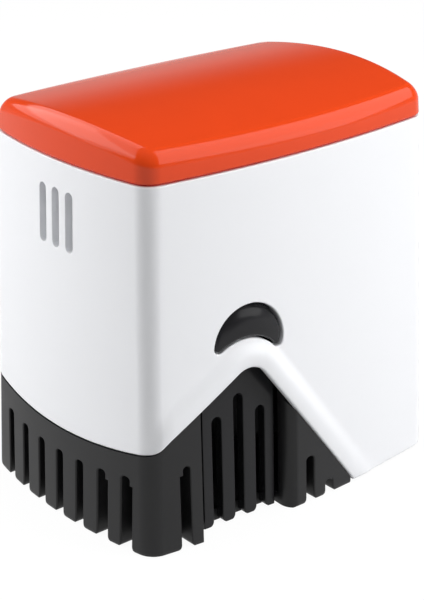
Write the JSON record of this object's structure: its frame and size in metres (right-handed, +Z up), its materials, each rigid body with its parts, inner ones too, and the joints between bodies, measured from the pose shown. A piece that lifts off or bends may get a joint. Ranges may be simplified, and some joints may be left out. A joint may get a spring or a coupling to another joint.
{
  "type": "bilge pump float switch",
  "caption": "Automatic bilge float switch: bowed, flared housing with a crowned cap, clipped over a comb-walled strainer base by crescent release buttons, with a magnet float on a stem inside.",
  "frame": {"origin": "middle of the base's underside, on the surface it stands on", "axes": "+Z up through the cap, +X towards the cable end, -X the vented end, Y across the two latch sides"},
  "size_m": [0.1004, 0.074, 0.102],
  "materials": {
    "cap_plastic": "glossy moulded orange-red plastic",
    "housing_plastic": "satin-gloss moulded white plastic",
    "base_plastic": "fine-grained dark grey moulded plastic",
    "latch_plastic": "smooth dark grey moulded plastic",
    "seal_rubber": "soft black rubber",
    "gasket_rubber": "soft dark red rubber",
    "screw_steel": "stainless steel",
    "stem_plastic": "natural moulded plastic",
    "float_plastic": "dark moulded polypropylene",
    "magnet_ferrite": "sintered ferrite",
    "board_laminate": "solder-masked laminate",
    "reed_glass": "clear glass tube",
    "relay_case": "moulded blue case",
    "terminal_plastic": "moulded green terminal block",
    "capacitor_sleeve": "shrunk sleeve on an aluminium can",
    "diode_case": "moulded black epoxy",
    "gland_plastic": "moulded dark grey plastic"
  },
  "bodies": {
    "switch_body": {"top_cap": "cap_plastic", "cap_gasket": "gasket_rubber", "cap_screws": "screw_steel", "housing": "housing_plastic", "strainer_base": "base_plastic", "guide_stem": "stem_plastic", "stem_seal": "seal_rubber", "stem_nut": "stem_plastic", "float_clip": "screw_steel", "circuit_board": "board_laminate", "board_screws": "screw_steel", "sensor_strip": "board_laminate", "lower_reed_switch": "reed_glass", "upper_reed_switch": "reed_glass", "power_relay": "relay_case", "terminal_block": "terminal_plastic", "capacitor": "capacitor_sleeve", "flyback_diode": "diode_case", "cable_gland": "gland_plastic", "gland_nut": "gland_plastic", "cable_seal": "seal_rubber"},
    "float": {"float_lower_shell": "float_plastic", "float_upper_shell": "float_plastic", "float_magnet": "magnet_ferrite"},
    "near_latch": {"latch_arm_near": "latch_plastic"},
    "far_latch": {"latch_arm_far": "latch_plastic"}
  },
  "joints": [
    {"name": "float_slide", "type": "slide", "parent": "switch_body", "child": "float", "axis": [0, 0, 1], "range_m": [0, 0.0249]},
    {"name": "near_latch_press", "type": "hinge", "parent": "switch_body", "child": "near_latch", "pos_m": [-0.01676, -0.02843, 0.00204], "axis": [-0.9983, 0.0587, 0], "range_deg": [0, 3.5], "stiffness_Nm_per_rad": 6},
    {"name": "far_latch_press", "type": "hinge", "parent": "switch_body", "child": "far_latch", "pos_m": [-0.01676, 0.02843, 0.00204], "axis": [0.9983, 0.0587, 0], "range_deg": [0, 3.5], "stiffness_Nm_per_rad": 6}
  ]
}
